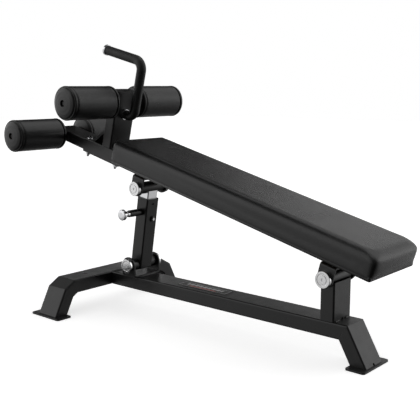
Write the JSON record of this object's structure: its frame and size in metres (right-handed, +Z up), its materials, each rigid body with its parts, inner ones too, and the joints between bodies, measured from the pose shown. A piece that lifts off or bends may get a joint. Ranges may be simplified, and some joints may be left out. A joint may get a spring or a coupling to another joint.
{
  "type": "decline sit-up bench",
  "caption": "Decline sit-up bench with a sloping pad, padded leg rollers, a hand grip and a strut with a pull pin that sets the slope.",
  "frame": {"origin": "on the floor, under the middle of the bench's overall box", "axes": "+Z up, +X along the bench towards the low end of the pad, where the head rests, +Y to the left of someone facing +X"},
  "size_m": [1.5239, 0.6746, 0.9887],
  "materials": {
    "black_frame": "satin black powder coat",
    "chrome": "bright chrome plate",
    "plain_steel": "turned steel, lightly oiled",
    "bronze": "plain bearing bronze",
    "black_plastic": "moulded black plastic",
    "grip_rubber": "matte black rubber sleeve",
    "pad_vinyl": "smooth black vinyl over foam",
    "board": "bare plywood",
    "label": "dark label with a plain stripe",
    "roller_foam": "satin black covered foam",
    "roller_cap": "satin black plastic"
  },
  "bodies": {
    "base": {"base_rail": "black_frame", "rear_leg": "black_frame", "rear_foot_plate": "black_frame", "front_crossbar": "black_frame", "front_leg_left": "black_frame", "front_leg_right": "black_frame", "front_foot_plates": "black_frame", "rear_post": "black_frame", "rear_pivot_sleeve": "black_frame", "rear_pivot_bushes": "bronze", "lower_bracket": "black_frame", "lower_pivot_pin": "plain_steel", "lower_pivot_caps": "chrome", "label_plate": "label"},
    "back_frame": {"pad_spine": "black_frame", "front_bracket": "black_frame", "rear_bracket": "black_frame", "pad_pivot_pins": "plain_steel", "pad_pivot_caps": "chrome", "pad_cross_plates": "black_frame", "pad_screws": "plain_steel", "pad_board": "board", "pad_cushion": "pad_vinyl", "beam_sleeve": "black_frame", "beam_end_plate": "black_frame", "inner_beam": "black_frame", "inner_beam_cap": "black_plastic", "beam_bolts": "chrome", "upright": "black_frame", "upright_cap": "black_plastic", "upright_gusset": "black_frame", "roller_shafts": "chrome", "roller_shaft_bolts": "chrome", "handle_tube": "plain_steel", "handle_grip": "grip_rubber", "handle_collar": "chrome", "handle_end_cap": "chrome"},
    "strut_outer": {"strut_outer_tube": "black_frame", "strut_lower_sleeve": "black_frame", "lower_pivot_bushes": "bronze", "strut_liner": "black_plastic", "pin_barrel": "black_frame", "pin_ferrule": "chrome", "clamp_nut": "black_frame", "clamp_screw": "chrome", "pin_spring": "plain_steel"},
    "strut_inner": {"strut_inner_tube": "chrome", "strut_upper_sleeve": "black_frame", "strut_upper_bushes": "bronze"},
    "pull_pin": {"pin_plunger": "chrome", "pin_knob": "chrome"},
    "roller_upper_left": {"roller_foam_upper_left": "roller_foam", "roller_caps_upper_left": "roller_cap"},
    "roller_upper_right": {"roller_foam_upper_right": "roller_foam", "roller_caps_upper_right": "roller_cap"},
    "roller_lower_left": {"roller_foam_lower_left": "roller_foam", "roller_caps_lower_left": "roller_cap"},
    "roller_lower_right": {"roller_foam_lower_right": "roller_foam", "roller_caps_lower_right": "roller_cap"}
  },
  "joints": [
    {"name": "incline", "type": "hinge", "parent": "base", "child": "back_frame", "pos_m": [0.56005, 0, 0.2626], "axis": [0, 1, 0], "range_deg": [0, 12]},
    {"name": "strut_tilt", "type": "hinge", "parent": "base", "child": "strut_outer", "pos_m": [-0.29605, 0, 0.1694], "axis": [0, 1, 0], "range_deg": [0, 4]},
    {"name": "strut_slide", "type": "slide", "parent": "strut_outer", "child": "strut_inner", "axis": [0.162, 0, 0.9868], "range_m": [0, 0.1725]},
    {"name": "pin_pull", "type": "slide", "parent": "strut_outer", "child": "pull_pin", "axis": [0, -1, 0], "range_m": [0, 0.012], "stiffness_N_per_m": 600, "springref_m": -0.008, "deforming": ["pin_spring"]},
    {"name": "spin_upper_left", "type": "hinge", "parent": "back_frame", "child": "roller_upper_left", "pos_m": [-0.38682, 0, 0.77429], "axis": [0, 1, 0], "continuous": true},
    {"name": "spin_upper_right", "type": "hinge", "parent": "back_frame", "child": "roller_upper_right", "pos_m": [-0.38682, 0, 0.77429], "axis": [0, 1, 0], "continuous": true},
    {"name": "spin_lower_left", "type": "hinge", "parent": "back_frame", "child": "roller_lower_left", "pos_m": [-0.70081, 0, 0.64694], "axis": [0, 1, 0], "continuous": true},
    {"name": "spin_lower_right", "type": "hinge", "parent": "back_frame", "child": "roller_lower_right", "pos_m": [-0.70081, 0, 0.64694], "axis": [0, 1, 0], "continuous": true}
  ],
  "couplings": [
    {"joint": "strut_tilt", "follows": "incline", "ratio": 0.3175},
    {"joint": "strut_slide", "follows": "incline", "m_per_rad": 0.822}
  ]
}
